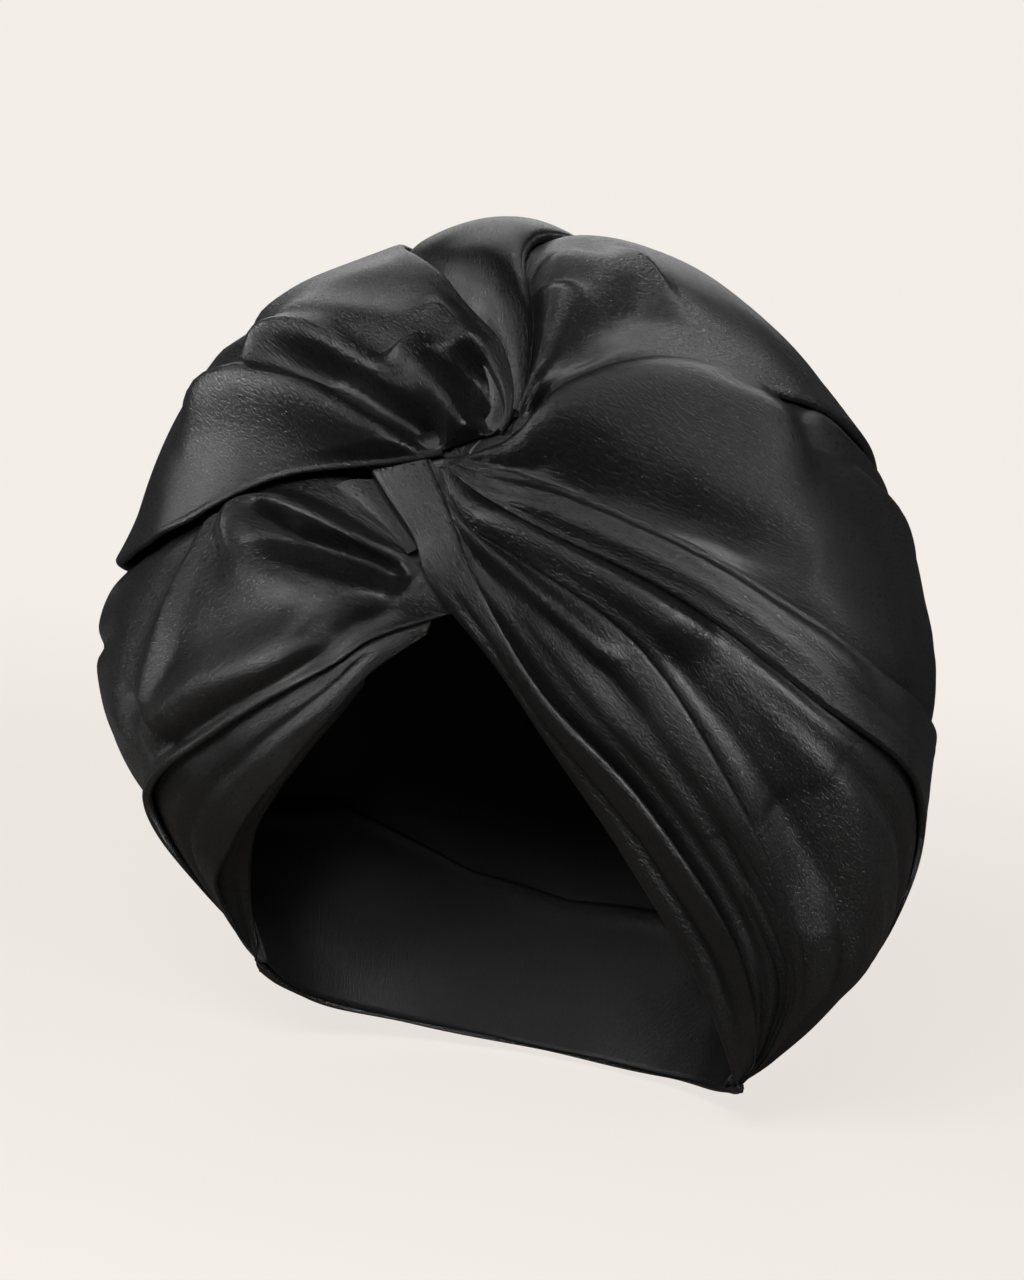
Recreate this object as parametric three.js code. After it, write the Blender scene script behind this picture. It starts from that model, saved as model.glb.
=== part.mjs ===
// A turban headwrap: pleats of satin that fan out from a twist over the forehead, run round the crown
// and gather along the nape, with a lining inside. Millimetres, +Z up, the front of the face towards -Y,
// the wearer's left towards +X. The origin is the middle of the head opening, where the wrap sits.
import * as THREE from "three";

// Driving dimensions.
const WALL = 2.5; // folded satin, two layers and the air between them
const LINING_WALL = 1.5;
const GAP = 0.5; // left between neighbouring pieces
const STEP = 0.8; // how far an overlapping edge stands above the middle of its fold line
const CENTRE = new THREE.Vector3(0, -8, 60); // the middle of the ball that the wrap is wound on
const HEM_HALF = { across: 2.4, down: 1.7 }; // half the thickness of the nape hem
const ALONG = 24; // steps along a pleat
const ACROSS = 5; // steps across a pleat
const degrees = THREE.MathUtils.degToRad;

// The ball: its reach sideways and its height above and below the centre, by angle round the head.
// Angles round the head are 0 at the forehead and grow towards the wearer's left.
const BALL = [
  { round: -180, reach: 118, top: 130, bottom: 185 },
  { round: -135, reach: 118, top: 130, bottom: 165 },
  { round: -90, reach: 114, top: 130, bottom: 122 },
  { round: -45, reach: 106, top: 130, bottom: 112 },
  { round: 0, reach: 98, top: 130, bottom: 110 },
  { round: 45, reach: 110, top: 130, bottom: 122 },
  { round: 90, reach: 122, top: 130, bottom: 142 },
  { round: 135, reach: 124, top: 130, bottom: 166 },
];

// Where the cloth stands out from the ball: [angle round, angle up], how wide and how far.
const SWELLS = [
  { at: [98, -27], wide: 20, rise: 8 },
  { at: [-86, -4], wide: 18, rise: 9 },
  { at: [-60, 50], wide: 16, rise: 3 },
  { at: [68, 58], wide: 16, rise: -5 },
  { at: [86, 34], wide: 14, rise: -4 },
];

// Fold lines between the pleats, each through its stations from the twist to the ear corner or the nape.
// A station is [angle round the head, angle up, share of the ball's radius].
const FOLDS = {
  opening_left_side: {
    twist: [-9, 35, 0.97], near: [0.5, 28, 0.98], front: [7, 19, 0.99], middle: [21, 5, 0.81],
    side: [38, -15, 0.72], back: [69, -40, 0.8], end: [101, -53, 0.97],
  },
  band_to_rim_pleat: {
    twist: [1, 37, 1], near: [6, 31, 1.02], front: [13, 20, 1.01], middle: [25, 5, 0.9],
    side: [44, -12, 0.85], back: [72, -34, 0.86], end: [104, -51, 0.97],
  },
  rim_pleat_to_lower_side: {
    twist: [3, 37.4, 1], near: [9, 30, 1], front: [20, 24, 1], middle: [37, 13, 1],
    side: [54, -6, 0.96], back: [80, -31, 0.94], end: [111, -52, 0.97],
  },
  lower_side_to_side: {
    twist: [4.6, 37.7, 1], near: [12, 34, 1], front: [24, 29, 1], middle: [43, 21, 1],
    side: [66, 7, 1], back: [100, -12, 1], end: [124, -53, 0.99],
  },
  side_to_shoulder: {
    twist: [6, 38.2, 1], near: [14, 36.5, 1], front: [28, 34, 1], middle: [50, 25, 1],
    side: [78, 10, 1], back: [114, -8, 1], end: [138, -53, 0.99],
  },
  shoulder_to_upper_side: {
    twist: [8, 40, 1], near: [17, 44, 1], front: [26, 50.5, 1], middle: [46, 55, 1],
    side: [82, 50, 1], back: [132, 18, 1], end: [153, -53, 0.99],
  },
  upper_side_to_crown: {
    twist: [16, 43, 1], near: [17, 47, 1], front: [17, 60, 1], middle: [6, 79, 1],
    side: [170, 68, 1], back: [168, 15, 1], end: [168, -53, 0.99],
  },
  crown_to_upper_wrap: {
    twist: [13, 43.5, 1], near: [14.6, 48, 1], front: [9, 57, 1], middle: [-12, 66, 1],
    side: [-85, 71, 1], back: [-165, 35, 1], end: [-176, -52.5, 0.99],
  },
  upper_to_lower_wrap: {
    twist: [3, 40, 1], near: [-8, 37.5, 1], front: [-29, 32, 1], middle: [-50, 21, 1],
    side: [-76, 12, 1], back: [-118, -2, 1], end: [-148, -52, 0.99],
  },
  lower_wrap_top: {
    twist: [5, 20.5, 0.96], near: [-6, 27.6, 0.97], front: [-29, 31, 0.985], middle: [-50, 20.2, 0.985],
    side: [-76, 11.5, 0.99], back: [-118, -2.2, 1], end: [-148, -52, 0.99],
  },
  lower_wrap_to_opening_band: {
    twist: [5, 17.5, 0.95], near: [-4, 12, 0.95], front: [-15, 5, 0.9], middle: [-38, -9, 0.89],
    side: [-64, -22, 0.95], back: [-86, -36, 0.97], end: [-124, -51.5, 0.98],
  },
  opening_band_to_roll: {
    twist: [4.4, 16, 0.92], near: [-5, 7.5, 0.86], front: [-19, -6, 0.78], middle: [-37, -21, 0.74],
    side: [-62, -35, 0.8], back: [-81, -42, 0.91], end: [-107, -51, 0.98],
  },
  opening_right_side: {
    twist: [4.2, 15, 0.9], near: [-7, 5, 0.81], front: [-21, -8, 0.71], middle: [-44, -25, 0.67],
    side: [-62, -35, 0.72], back: [-82, -43.5, 0.82], end: [-101.5, -51.5, 0.96],
  },
  tail_lower: {
    start: [-18, 34.3, 0.96], middle: [-10, 31.2, 0.96], tuck: [-4.6, 28.4, 0.96], end: [0, 25.2, 0.96],
  },
  tail_upper: {
    start: [-11.5, 36, 0.96], middle: [-6.6, 32.6, 0.96], tuck: [-2.4, 29.4, 0.96], end: [1.4, 26.2, 0.96],
  },
};

// Pleats, each between two fold lines. puff is how far the pleat stands up between them, peak is how far
// across its highest line lies, and over says, for each fold line, whether the pleat lies over (1) or
// under (-1) its neighbour there. starts is how far along the fold lines it comes out of the twist.
const PLEATS = {
  front_rim_band: { from: "opening_left_side", to: "band_to_rim_pleat", puff: 2.5, peak: 0.5, over: [0, 1] },
  rim_pleat: { from: "band_to_rim_pleat", to: "rim_pleat_to_lower_side", puff: 3, peak: 0.6, over: [-1, 1] },
  lower_side_pleat: {
    from: "rim_pleat_to_lower_side", to: "lower_side_to_side", puff: 5, peak: 0.5, over: [-1, -1],
  },
  side_pleat: { from: "lower_side_to_side", to: "side_to_shoulder", puff: 3, peak: 0.45, over: [1, 1] },
  shoulder_pleat: {
    from: "side_to_shoulder", to: "shoulder_to_upper_side", puff: 5, peak: 0.55, over: [-1, -1],
  },
  upper_side_pleat: {
    from: "shoulder_to_upper_side", to: "upper_side_to_crown", puff: 5, peak: 0.5, over: [1, -1],
    starts: 0.17,
  },
  crown_pleat: {
    from: "upper_side_to_crown", to: "crown_to_upper_wrap", puff: 5, peak: 0.4, over: [1, -1],
    starts: 0.17,
  },
  upper_wrap: { from: "crown_to_upper_wrap", to: "upper_to_lower_wrap", puff: 6, peak: 0.5, over: [1, 1] },
  lower_wrap: { from: "lower_wrap_top", to: "lower_wrap_to_opening_band", puff: 6, peak: 0.5, over: [-1, 1] },
  opening_band: {
    from: "lower_wrap_to_opening_band", to: "opening_band_to_roll", puff: 1.5, peak: 0.5, over: [-1, 1],
    starts: 0.12,
  },
  opening_roll: {
    from: "opening_band_to_roll", to: "opening_right_side", puff: 0.5, peak: 0.5, over: [-1, 0],
    starts: 0.3,
  },
  twist_tail: { from: "tail_lower", to: "tail_upper", puff: 0.5, peak: 0.5, over: [-1, -1] },
};

// The front edge of the crown lining and its seam with the nape band, one row per direction: angle round
// the head, angle up, share of the ball's radius.
const LINING_EDGE = [
  { round: -180, up: -39.5, share: 0.93 },
  { round: -160, up: -37.5, share: 0.93 },
  { round: -135, up: -30, share: 0.93 },
  { round: -105, up: -31, share: 0.88 },
  { round: -90, up: -26, share: 0.86 },
  { round: -60, up: -6, share: 0.86 },
  { round: -30, up: 16, share: 0.88 },
  { round: 0, up: 44, share: 0.9 },
  { round: 30, up: 28, share: 0.9 },
  { round: 60, up: 5, share: 0.9 },
  { round: 90, up: -24, share: 0.87 },
  { round: 105, up: -35, share: 0.88 },
  { round: 135, up: -37, share: 0.93 },
];
// The lower edge of the lining's nape band.
const NAPE_EDGE = [
  { round: -180, up: -52, share: 0.95 },
  { round: -135, up: -52, share: 0.94 },
  { round: -105, up: -48, share: 0.88 },
  { round: 105, up: -49, share: 0.88 },
  { round: 135, up: -52, share: 0.94 },
];
const LINING_POLE = { round: 180, up: 62 }; // where the lining's gores meet
const LINING_DEPTH = 5.5; // how far the crown lining lies inside the ball
const LINING_RINGS = 9;
const LINING_AROUND = 48;
const EAR = 105; // angle round the head of the ear corners, where the nape band ends
// The middle of the nape hem, from the wearer's right ear corner round the back to the left one.
const HEM = [
  { round: -103, up: -53.2, share: 0.97 },
  { round: -125, up: -53.6, share: 0.975 },
  { round: -150, up: -54.2, share: 0.98 },
  { round: -180, up: -54.6, share: 0.98 },
  { round: -210, up: -54.8, share: 0.98 },
  { round: -235, up: -54.8, share: 0.975 },
  { round: -255, up: -55, share: 0.965 },
];
const HEM_STEPS = 26;

const SATIN = new THREE.MeshStandardMaterial({ color: 0x1b1b1d, roughness: 0.45, metalness: 0 });
const LINING = new THREE.MeshStandardMaterial({ color: 0x141415, roughness: 0.6, metalness: 0 });

// A smooth value through four evenly spaced ones, at share t between the second and the third.
function between(before, from, to, after, t) {
  const bend = 2 * before - 5 * from + 4 * to - after;
  const twist = 3 * from - before - 3 * to + after;
  return 0.5 * (2 * from + (to - before) * t + bend * t * t + twist * t * t * t);
}

// One column of the BALL table at any angle round the head.
function ballSize(round, column) {
  const step = 360 / BALL.length;
  const place = ((((round + 180) / step) % BALL.length) + BALL.length) % BALL.length;
  const row = Math.floor(place);
  const sizes = [-1, 0, 1, 2].map((k) => BALL[(row + k + BALL.length) % BALL.length][column]);
  return between(...sizes, place - row);
}

function direction(round, up) {
  const [a, b] = [degrees(round), degrees(up)];
  return new THREE.Vector3(Math.cos(b) * Math.sin(a), -Math.cos(b) * Math.cos(a), Math.sin(b));
}

// The ball's radius towards a unit direction, with the swells.
function ballRadius(way) {
  const round = THREE.MathUtils.radToDeg(Math.atan2(way.x, -way.y));
  const flat = Math.hypot(way.x, way.y) / ballSize(round, "reach");
  const tall = way.z / ballSize(round, way.z > 0 ? "top" : "bottom");
  let radius = 1 / Math.hypot(flat, tall);
  for (const { at, wide, rise } of SWELLS) {
    const off = way.angleTo(direction(...at)) / degrees(wide);
    radius += rise * Math.exp(-off * off);
  }
  return radius;
}

// The point at a share of the ball's radius, less a depth, towards a direction.
function ballPoint(way, share, depth = 0) {
  return way.clone().multiplyScalar(ballRadius(way) * share - depth).add(CENTRE);
}

// Direction and share along a fold line, t from 0 at the twist to 1 at its end.
function along(fold, t) {
  const stations = Object.values(fold);
  const place = Math.min(t, 0.99999) * (stations.length - 1);
  const first = Math.floor(place);
  const rows = [-1, 0, 1, 2].map((k) => {
    const [round, up, share] = stations[THREE.MathUtils.clamp(first + k, 0, stations.length - 1)];
    return { way: direction(round, up), share };
  });
  const mix = (read) => between(...rows.map(read), place - first);
  const way = new THREE.Vector3(mix((r) => r.way.x), mix((r) => r.way.y), mix((r) => r.way.z)).normalize();
  return { way, share: mix((r) => r.share) };
}

function foldPoint(fold, t) {
  const { way, share } = along(fold, t);
  return ballPoint(way, share);
}

// The frame of a fold line: the way that its pleats' side walls stand in, and the way across the cloth.
function foldFrame(fold, before, after, t) {
  const step = 0.5 / ALONG;
  const ahead = foldPoint(fold, Math.min(t + step, 1)).sub(foldPoint(fold, Math.max(t - step, 0)));
  const across = foldPoint(after, t).sub(foldPoint(before, t));
  const normal = ahead.clone().cross(across).normalize();
  return { normal, across: normal.clone().cross(ahead).normalize() };
}

// A closed body between an outer and an inner grid of points of the same size.
function closedBody(outer, inner) {
  const rows = outer.length;
  const columns = outer[0].length;
  const points = [...outer.flat(), ...inner.flat()];
  const out = (i, j) => i * columns + j;
  const back = (i, j) => rows * columns + i * columns + j;
  const faces = [];
  const quad = (a, b, c, d) => faces.push(a, b, c, a, c, d);
  for (let i = 0; i + 1 < rows; i++) {
    for (let j = 0; j + 1 < columns; j++) {
      quad(out(i, j), out(i + 1, j), out(i + 1, j + 1), out(i, j + 1));
      quad(back(i, j), back(i, j + 1), back(i + 1, j + 1), back(i + 1, j));
    }
    quad(out(i + 1, 0), out(i, 0), back(i, 0), back(i + 1, 0));
    quad(out(i, columns - 1), out(i + 1, columns - 1), back(i + 1, columns - 1), back(i, columns - 1));
  }
  for (let j = 0; j + 1 < columns; j++) {
    quad(out(0, j), out(0, j + 1), back(0, j + 1), back(0, j));
    quad(out(rows - 1, j + 1), out(rows - 1, j), back(rows - 1, j), back(rows - 1, j + 1));
  }
  const geometry = new THREE.BufferGeometry().setFromPoints(points);
  geometry.setIndex(faces);
  geometry.computeVertexNormals();
  return geometry;
}

// The fold lines on either side of one, in order round the twist.
const APART = ["lower_wrap_top", "tail_lower", "tail_upper"]; // fold lines outside that order
const ORDER = Object.keys(FOLDS).filter((name) => !APART.includes(name));
function neighbours(name) {
  if (name.startsWith("tail")) return [FOLDS.tail_lower, FOLDS.tail_upper];
  const place = ORDER.indexOf(name === "lower_wrap_top" ? "upper_to_lower_wrap" : name);
  const before = FOLDS[ORDER[Math.max(place - 1, 0)]];
  const after = FOLDS[ORDER[Math.min(place + 1, ORDER.length - 1)]];
  return [before, after];
}

function pleat({ from, to, puff, peak, over, starts = 0 }) {
  const [low, high] = [FOLDS[from], FOLDS[to]];
  const skew = Math.log(0.5) / Math.log(peak);
  const steps = from.startsWith("tail") ? ALONG / 4 : ALONG;
  const outer = [];
  const inner = [];
  for (let i = 0; i <= steps; i++) {
    const t = THREE.MathUtils.lerp(starts, 1, i / steps);
    const [a, b] = [along(low, t), along(high, t)];
    const width = foldPoint(low, t).distanceTo(foldPoint(high, t));
    const frames = [foldFrame(low, ...neighbours(from), t), foldFrame(high, ...neighbours(to), t)];
    const rise = puff * Math.sin(Math.PI * Math.min(1, t * 1.4)) ** 0.6 * Math.min(1, width / 20);
    outer.push([]);
    inner.push([]);
    for (let j = 0; j <= ACROSS; j++) {
      const u = j / ACROSS;
      const way = a.way.clone().lerp(b.way, u).normalize();
      const normal = frames[0].normal.clone().lerp(frames[1].normal, u).normalize();
      const across = frames[0].across.clone().lerp(frames[1].across, u).normalize();
      const edge = STEP * THREE.MathUtils.lerp(over[0], over[1], u);
      const lift = edge + rise * Math.sin(Math.PI * u ** skew);
      const base = ballPoint(way, THREE.MathUtils.lerp(a.share, b.share, u));
      base.addScaledVector(across, GAP * (0.5 - u));
      outer[i].push(base.clone().addScaledVector(normal, lift));
      inner[i].push(base.clone().addScaledVector(normal, lift - WALL));
    }
  }
  return closedBody(outer, inner);
}

// A column of one of the lining's edge tables at any angle round the head.
function edgeAt(table, round, column) {
  const turned = ((((round + 180) % 360) + 360) % 360) - 180;
  const rows = [...table, { ...table[0], round: 180 }];
  const next = rows.findIndex((row) => row.round > turned);
  const [from, to] = [rows[next - 1], rows[next]];
  return THREE.MathUtils.mapLinear(turned, from.round, to.round, from[column], to[column]);
}

function liningCrown() {
  const pole = direction(LINING_POLE.round, LINING_POLE.up);
  const centre = [ballPoint(pole, 1, LINING_DEPTH), ballPoint(pole, 1, LINING_DEPTH + LINING_WALL)];
  const rings = [];
  for (let i = 1; i <= LINING_RINGS; i++) {
    const ring = [];
    for (let j = 0; j < LINING_AROUND; j++) {
      const round = -180 + (360 * j) / LINING_AROUND;
      const edge = direction(round, edgeAt(LINING_EDGE, round, "up"));
      const out = i / LINING_RINGS;
      const turn = new THREE.Quaternion().setFromUnitVectors(pole, edge);
      const way = pole.clone().applyQuaternion(new THREE.Quaternion().slerp(turn, out));
      const share = THREE.MathUtils.lerp(1, edgeAt(LINING_EDGE, round, "share"), out * out);
      const depth = LINING_DEPTH * (1 - out * out);
      ring.push([ballPoint(way, share, depth), ballPoint(way, share, depth + LINING_WALL)]);
    }
    rings.push(ring);
  }
  const points = [...centre, ...rings.flat(2)];
  const at = (i, j, side) => 2 + 2 * (i * LINING_AROUND + (j % LINING_AROUND)) + side;
  const faces = [];
  const quad = (a, b, c, d) => faces.push(a, b, c, a, c, d);
  for (let j = 0; j < LINING_AROUND; j++) {
    faces.push(0, at(0, j, 0), at(0, j + 1, 0));
    faces.push(1, at(0, j + 1, 1), at(0, j, 1));
    for (let i = 0; i + 1 < LINING_RINGS; i++) {
      quad(at(i, j, 0), at(i + 1, j, 0), at(i + 1, j + 1, 0), at(i, j + 1, 0));
      quad(at(i, j, 1), at(i, j + 1, 1), at(i + 1, j + 1, 1), at(i + 1, j, 1));
    }
    const last = LINING_RINGS - 1;
    quad(at(last, j, 0), at(last, j, 1), at(last, j + 1, 1), at(last, j + 1, 0));
  }
  const geometry = new THREE.BufferGeometry().setFromPoints(points);
  geometry.setIndex(faces);
  geometry.computeVertexNormals();
  return geometry;
}

function liningBand() {
  const rows = 4;
  const step = 360 / LINING_AROUND;
  const steps = (360 - 2 * EAR) / step;
  const grid = (depth) =>
    Array.from({ length: steps + 1 }, (_, k) => {
      const round = -EAR - k * step;
      const top = edgeAt(LINING_EDGE, round, "up");
      const seamGap = THREE.MathUtils.radToDeg(GAP / ballRadius(direction(round, top)));
      return Array.from({ length: rows + 1 }, (_, row) => {
        const down = row / rows;
        const up = THREE.MathUtils.lerp(top - seamGap, edgeAt(NAPE_EDGE, round, "up"), down);
        const edges = [LINING_EDGE, NAPE_EDGE].map((table) => edgeAt(table, round, "share"));
        return ballPoint(direction(round, up), THREE.MathUtils.lerp(...edges, down), depth);
      });
    });
  return closedBody(grid(0), grid(LINING_WALL));
}

function napeHem() {
  const route = Object.fromEntries(HEM.map(({ round, up, share }, k) => [k, [round, up, share]]));
  const middle = Array.from({ length: HEM_STEPS + 1 }, (_, k) => foldPoint(route, k / HEM_STEPS));
  const around = 8;
  const points = [];
  middle.forEach((point, k) => {
    const ahead = middle[Math.min(k + 1, HEM_STEPS)].clone().sub(middle[Math.max(k - 1, 0)]).normalize();
    const out = point.clone().sub(CENTRE).setZ(0).normalize();
    out.addScaledVector(ahead, -out.dot(ahead)).normalize();
    const down = ahead.clone().cross(out);
    for (let c = 0; c < around; c++) {
      const turn = (2 * Math.PI * c) / around;
      const offset = out.clone().multiplyScalar(HEM_HALF.across * Math.cos(turn));
      offset.addScaledVector(down, HEM_HALF.down * Math.sin(turn));
      points.push(point.clone().add(offset));
    }
  });
  const at = (k, c) => k * around + (c % around);
  const faces = [];
  for (let c = 0; c < around; c++) {
    for (let k = 0; k < HEM_STEPS; k++) {
      faces.push(at(k, c), at(k, c + 1), at(k + 1, c + 1), at(k, c), at(k + 1, c + 1), at(k + 1, c));
    }
    if (c > 0 && c + 1 < around) {
      faces.push(at(0, 0), at(0, c + 1), at(0, c));
      faces.push(at(HEM_STEPS, 0), at(HEM_STEPS, c), at(HEM_STEPS, c + 1));
    }
  }
  const geometry = new THREE.BufferGeometry().setFromPoints(points);
  geometry.setIndex(faces);
  geometry.computeVertexNormals();
  return geometry;
}

const wrap = new THREE.Group();
function add(name, geometry, material) {
  const piece = new THREE.Mesh(geometry, material);
  piece.name = name;
  wrap.add(piece);
}

for (const [name, row] of Object.entries(PLEATS)) add(name, pleat(row), SATIN);
add("nape_hem", napeHem(), SATIN);
add("lining_crown", liningCrown(), LINING);
add("lining_band", liningBand(), LINING);

export default wrap;
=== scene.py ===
import math

import bmesh
import bpy
import numpy as np
from mathutils import Matrix, Vector


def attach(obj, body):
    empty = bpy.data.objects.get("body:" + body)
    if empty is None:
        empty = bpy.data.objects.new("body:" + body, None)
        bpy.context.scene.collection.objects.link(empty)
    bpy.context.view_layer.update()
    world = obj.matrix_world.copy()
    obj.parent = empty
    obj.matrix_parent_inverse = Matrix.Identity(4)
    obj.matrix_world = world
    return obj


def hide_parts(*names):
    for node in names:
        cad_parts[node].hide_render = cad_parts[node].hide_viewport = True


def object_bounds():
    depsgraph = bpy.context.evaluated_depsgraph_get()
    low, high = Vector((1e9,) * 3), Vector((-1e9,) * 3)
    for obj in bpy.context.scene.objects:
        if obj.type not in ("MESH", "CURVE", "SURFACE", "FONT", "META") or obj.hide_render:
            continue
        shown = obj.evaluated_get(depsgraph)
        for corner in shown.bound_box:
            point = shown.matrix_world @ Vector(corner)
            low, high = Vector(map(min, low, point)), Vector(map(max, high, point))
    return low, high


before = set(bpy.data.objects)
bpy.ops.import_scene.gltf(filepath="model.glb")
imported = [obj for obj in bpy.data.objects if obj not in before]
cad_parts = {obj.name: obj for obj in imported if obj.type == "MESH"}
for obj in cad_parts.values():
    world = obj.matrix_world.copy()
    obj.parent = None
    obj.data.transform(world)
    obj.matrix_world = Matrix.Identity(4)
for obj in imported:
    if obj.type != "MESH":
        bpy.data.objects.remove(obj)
cad_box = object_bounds()

MM = 0.001
SEED = 5

# ---------------------------------------------------------------- the form that the cloth is wound on

CENTRE = np.array([0.0, -8.0, 60.0])  # the middle of the ball

# The ball's reach sideways and its height above and below the centre. Angles round the head are 0 at
# the forehead and grow towards the wearer's left.
BALL = [
    dict(around=-180, reach=118, top=130, bottom=185),
    dict(around=-135, reach=118, top=130, bottom=165),
    dict(around=-90, reach=114, top=130, bottom=122),
    dict(around=-45, reach=106, top=130, bottom=112),
    dict(around=0, reach=98, top=130, bottom=110),
    dict(around=45, reach=110, top=130, bottom=122),
    dict(around=90, reach=122, top=130, bottom=142),
    dict(around=135, reach=124, top=130, bottom=166),
]

# Where the cloth stands out from the ball, or lies closer.
SWELLS = [
    dict(at=(98, -27), wide=20, rise=8),
    dict(at=(-86, -4), wide=18, rise=9),
    dict(at=(-60, 50), wide=16, rise=3),
    dict(at=(68, 58), wide=16, rise=-5),
    dict(at=(86, 34), wide=14, rise=-4),
]

# Fold lines, each through its stations from the twist to the ear corner or the nape. A station is
# (angle round the head, angle up, share of the ball's radius).
FOLDS = dict(
    opening_left_side=[
        (-12, 38.5, 0.965), (0.5, 28, 0.98), (7, 19, 0.99), (21, 5, 0.81), (38, -15, 0.72), (69, -40, 0.8),
        (101, -53, 0.97),
    ],
    band_to_rim_pleat=[
        (-2, 41, 0.97), (6, 31, 1.02), (13, 20, 1.01), (25, 5, 0.9), (44, -12, 0.85), (72, -34, 0.86),
        (104, -51, 0.97),
    ],
    rim_pleat_to_lower_side=[
        (3, 37.4, 1), (9, 30, 1), (20, 24, 1), (37, 13, 1), (54, -6, 0.96), (80, -31, 0.94),
        (111, -52, 0.97),
    ],
    lower_side_to_side=[
        (4.6, 37.7, 1), (12, 34, 1), (24, 29, 1), (43, 21, 1), (66, 7, 1), (100, -12, 1), (124, -53, 0.99),
    ],
    side_to_shoulder=[
        (6, 38.2, 1), (14, 36.5, 1), (28, 34, 1), (50, 25, 1), (78, 10, 1), (114, -8, 1), (138, -53, 0.99),
    ],
    shoulder_to_upper_side=[
        (8, 40, 1), (17, 44, 1), (26, 50.5, 1), (46, 55, 1), (82, 50, 1), (132, 18, 1), (153, -53, 0.99),
    ],
    upper_side_to_crown=[
        (16, 43, 1), (17, 47, 1), (17, 60, 1), (6, 79, 1), (170, 68, 1), (168, 15, 1), (168, -53, 0.99),
    ],
    crown_to_upper_wrap=[
        (13, 43.5, 1), (14.6, 48, 1), (9, 57, 1), (-12, 66, 1), (-85, 71, 1), (-165, 35, 1),
        (-176, -52.5, 0.99),
    ],
    upper_to_lower_wrap=[
        (3, 40, 1), (-8, 37.5, 1), (-29, 32, 1), (-50, 21, 1), (-76, 12, 1), (-118, -2, 1),
        (-148, -52, 0.99),
    ],
    lower_wrap_top=[
        (10, 21, 0.93), (-6, 27.6, 0.97), (-29, 31, 0.985), (-50, 20.2, 0.985), (-76, 11.5, 0.99),
        (-118, -2.2, 1), (-148, -52, 0.99),
    ],
    lower_wrap_to_opening_band=[
        (10, 18, 0.92), (-4, 12, 0.95), (-15, 5, 0.9), (-38, -9, 0.89), (-64, -22, 0.95),
        (-86, -36, 0.97), (-124, -51.5, 0.98),
    ],
    opening_band_to_roll=[
        (8, 16, 0.9), (-5, 7.5, 0.86), (-19, -6, 0.78), (-37, -21, 0.74), (-62, -35, 0.8),
        (-81, -42, 0.91), (-107, -51, 0.98),
    ],
    opening_right_side=[
        (8, 15, 0.88), (-7, 5, 0.81), (-21, -8, 0.71), (-44, -25, 0.67), (-62, -35, 0.72),
        (-82, -43.5, 0.82), (-101.5, -51.5, 0.96),
    ],
    tail_lower=[(-18, 34.3, 0.96), (-10, 31.2, 0.96), (-4.6, 28.4, 0.96), (0, 25.2, 0.96)],
    tail_upper=[(-11.5, 36, 0.96), (-6.6, 32.6, 0.96), (-2.4, 29.4, 0.96), (1.4, 26.2, 0.96)],
)

# Pleats between two fold lines. Each edge is "over" (it rolls under itself on top of its neighbour),
# "under" (it runs on beneath its neighbour) or "rim" (it rolls back as a facing inside the opening).
PLEATS = dict(
    front_rim_band=dict(
        folds=("opening_left_side", "band_to_rim_pleat"), edges=("rim", "over"), puff=2.5, peak=0.5,
        wrinkles=0.12),
    rim_pleat=dict(
        folds=("band_to_rim_pleat", "rim_pleat_to_lower_side"), edges=("under", "over"), puff=3.5, peak=0.6,
        wrinkles=0.25),
    lower_side_pleat=dict(
        folds=("rim_pleat_to_lower_side", "lower_side_to_side"), edges=("under", "under"), puff=6, peak=0.45,
        wrinkles=0.25),
    side_pleat=dict(
        folds=("lower_side_to_side", "side_to_shoulder"), edges=("over", "over"), puff=3, peak=0.45,
        wrinkles=0.2),
    shoulder_pleat=dict(
        folds=("side_to_shoulder", "shoulder_to_upper_side"), edges=("under", "under"), puff=6, peak=0.55,
        wrinkles=0.3),
    upper_side_pleat=dict(
        folds=("shoulder_to_upper_side", "upper_side_to_crown"), edges=("over", "under"), puff=6, peak=0.5,
        wrinkles=0.3, starts=0.14),
    crown_pleat=dict(
        folds=("upper_side_to_crown", "crown_to_upper_wrap"), edges=("over", "under"), puff=6, peak=0.4,
        wrinkles=0.25, starts=0.14),
    upper_wrap=dict(
        folds=("crown_to_upper_wrap", "upper_to_lower_wrap"), edges=("over", "over"), puff=7, peak=0.5,
        wrinkles=0.3),
    lower_wrap=dict(
        folds=("lower_wrap_top", "lower_wrap_to_opening_band"), edges=("under", "over"), puff=7, peak=0.5,
        wrinkles=0.25),
    opening_band=dict(
        folds=("lower_wrap_to_opening_band", "opening_band_to_roll"), edges=("under", "over"), puff=1.5,
        peak=0.5, wrinkles=0.15, starts=0.06),
    opening_roll=dict(
        folds=("opening_band_to_roll", "opening_right_side"), edges=("under", "rim"), puff=0.5, peak=0.5,
        wrinkles=0.07, starts=0.2),
    twist_tail=dict(
        folds=("tail_lower", "tail_upper"), edges=("under", "under"), puff=1, peak=0.5, wrinkles=0.15),
)
HEM = [
    (-101.5, -52.2, 0.965), (-112, -53.3, 0.97), (-125, -53.8, 0.975), (-150, -54.2, 0.98),
    (-180, -54.6, 0.98), (-210, -54.7, 0.98), (-235, -54.6, 0.975), (-249, -54, 0.972),
    (-259, -53.2, 0.968),
]

APART = ("lower_wrap_top", "tail_lower", "tail_upper")  # fold lines outside the order round the twist
ORDER = [name for name in FOLDS if name not in APART]

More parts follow.
